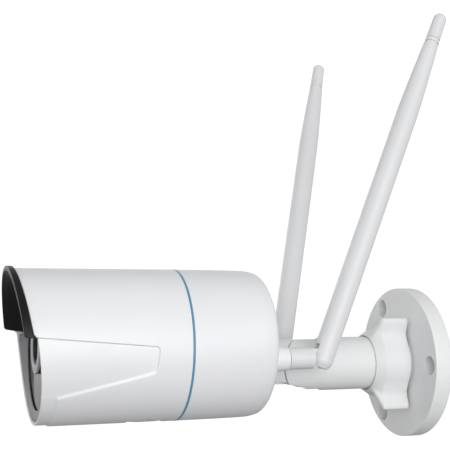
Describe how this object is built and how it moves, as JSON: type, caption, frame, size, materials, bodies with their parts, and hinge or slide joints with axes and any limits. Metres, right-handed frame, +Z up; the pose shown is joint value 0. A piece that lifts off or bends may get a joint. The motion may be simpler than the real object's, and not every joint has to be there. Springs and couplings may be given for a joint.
{
  "type": "security camera",
  "caption": "Bullet security camera with sun visor, lens and infrared lamps, two hinged antennas, and a jointed arm on a round wall plate.",
  "frame": {"origin": "centre of the wall plate's back face", "axes": "+Y points out of the back face into the wall, -Y is where the lens looks, +Z is up, +X is the side of the nearer antenna"},
  "size_m": [0.1125, 0.1965, 0.1963],
  "materials": {
    "white_metal": "white satin powder coat",
    "accent": "satin light blue",
    "antenna": "soft satin off-white",
    "black_plastic": "satin black",
    "grey_plastic": "satin mid grey",
    "light_plastic": "satin light grey",
    "window": "smoked, polished",
    "optic": "coated, polished",
    "lamp": "clear dark epoxy",
    "rubber": "matt",
    "board": "solder mask",
    "chip": "moulded",
    "alloy": "bare",
    "steel": "plated",
    "brass": "bare"
  },
  "bodies": {
    "wall_plate": {"wall_plate": "white_metal", "cable_grommet": "rubber", "clamp_collet": "rubber"},
    "clamp_ring": {"clamp_ring": "white_metal"},
    "arm": {"arm": "white_metal", "tilt_bolt": "steel", "tilt_nut": "brass", "friction_washer_near": "rubber", "friction_washer_far": "rubber"},
    "neck": {"neck": "white_metal", "neck_nut": "steel"},
    "camera": {"main_housing": "white_metal", "accent_ring": "accent", "rear_cap": "white_metal", "antenna_collar_near": "white_metal", "antenna_collar_far": "white_metal", "housing_seal": "rubber", "sun_visor": "black_plastic", "front_bezel": "grey_plastic", "front_glass": "window", "glass_gasket": "rubber", "lens_shroud": "light_plastic", "lens_barrel": "black_plastic", "lens_front_element": "optic", "lens_rear_element": "optic", "lens_mount": "black_plastic", "image_sensor": "chip", "sensor_board": "board", "led_board": "board", "ir_lamp_1": "lamp", "ir_lamp_2": "lamp", "ir_lamp_3": "lamp", "ir_lamp_4": "lamp", "ir_lamp_5": "lamp", "ir_lamp_6": "lamp", "ir_lamp_7": "lamp", "ir_lamp_8": "lamp", "light_sensor": "optic", "inner_frame": "grey_plastic", "main_board": "board", "heat_spreader": "alloy", "wifi_module": "steel", "card_slot": "steel", "microphone": "steel", "card_cover": "white_metal", "card_cover_seal": "rubber", "cover_screw_left": "steel", "cover_screw_right": "steel", "antenna_jack_near": "brass", "antenna_jack_far": "brass", "antenna_lead_near": "rubber", "antenna_lead_far": "rubber"},
    "antenna_base_near": {"antenna_base_near": "antenna"},
    "antenna_base_far": {"antenna_base_far": "antenna"},
    "antenna_near": {"antenna_whip_near": "antenna", "hinge_pin_near": "steel"},
    "antenna_far": {"antenna_whip_far": "antenna", "hinge_pin_far": "steel"},
    "ir_cut_filter": {"ir_cut_filter": "optic"},
    "reset_button": {"reset_button": "black_plastic"}
  },
  "joints": [
    {"name": "clamp_ring_turn", "type": "hinge", "parent": "wall_plate", "child": "clamp_ring", "pos_m": [0, -0.015, 0], "axis": [0, 1, 0], "range_deg": [-90, 90]},
    {"name": "arm_pan", "type": "hinge", "parent": "wall_plate", "child": "arm", "pos_m": [0, -0.03, 0], "axis": [0, 1, 0], "range_deg": [-175, 175]},
    {"name": "knuckle_tilt", "type": "hinge", "parent": "arm", "child": "neck", "pos_m": [0, -0.0589, 0], "axis": [1, 0, 0], "range_deg": [-12, 32]},
    {"name": "camera_roll", "type": "hinge", "parent": "neck", "child": "camera", "pos_m": [0, -0.08, 0], "axis": [0, 1, 0], "range_deg": [-20, 20]},
    {"name": "antenna_swivel_near", "type": "hinge", "parent": "camera", "child": "antenna_base_near", "pos_m": [0.0234, -0.068, 0.0043], "axis": [0, 1, 0], "range_deg": [-5, 60]},
    {"name": "antenna_swivel_far", "type": "hinge", "parent": "camera", "child": "antenna_base_far", "pos_m": [-0.0234, -0.068, 0.0043], "axis": [0, 1, 0], "range_deg": [-40, 14]},
    {"name": "antenna_tilt_near", "type": "hinge", "parent": "antenna_base_near", "child": "antenna_near", "pos_m": [0.0234, -0.0583, 0.0043], "axis": [1, 0, 0], "range_deg": [-12, 24]},
    {"name": "antenna_tilt_far", "type": "hinge", "parent": "antenna_base_far", "child": "antenna_far", "pos_m": [-0.0234, -0.0583, 0.0043], "axis": [0.9466, 0, 0.3223], "range_deg": [-16, 17]},
    {"name": "filter_shift", "type": "slide", "parent": "camera", "child": "ir_cut_filter", "axis": [1, 0, 0], "range_m": [0, 0.0048]},
    {"name": "reset_press", "type": "slide", "parent": "camera", "child": "reset_button", "axis": [0, 0, 1], "range_m": [0, 0.0005], "stiffness_N_per_m": 200, "springref_m": -0.0005}
  ]
}
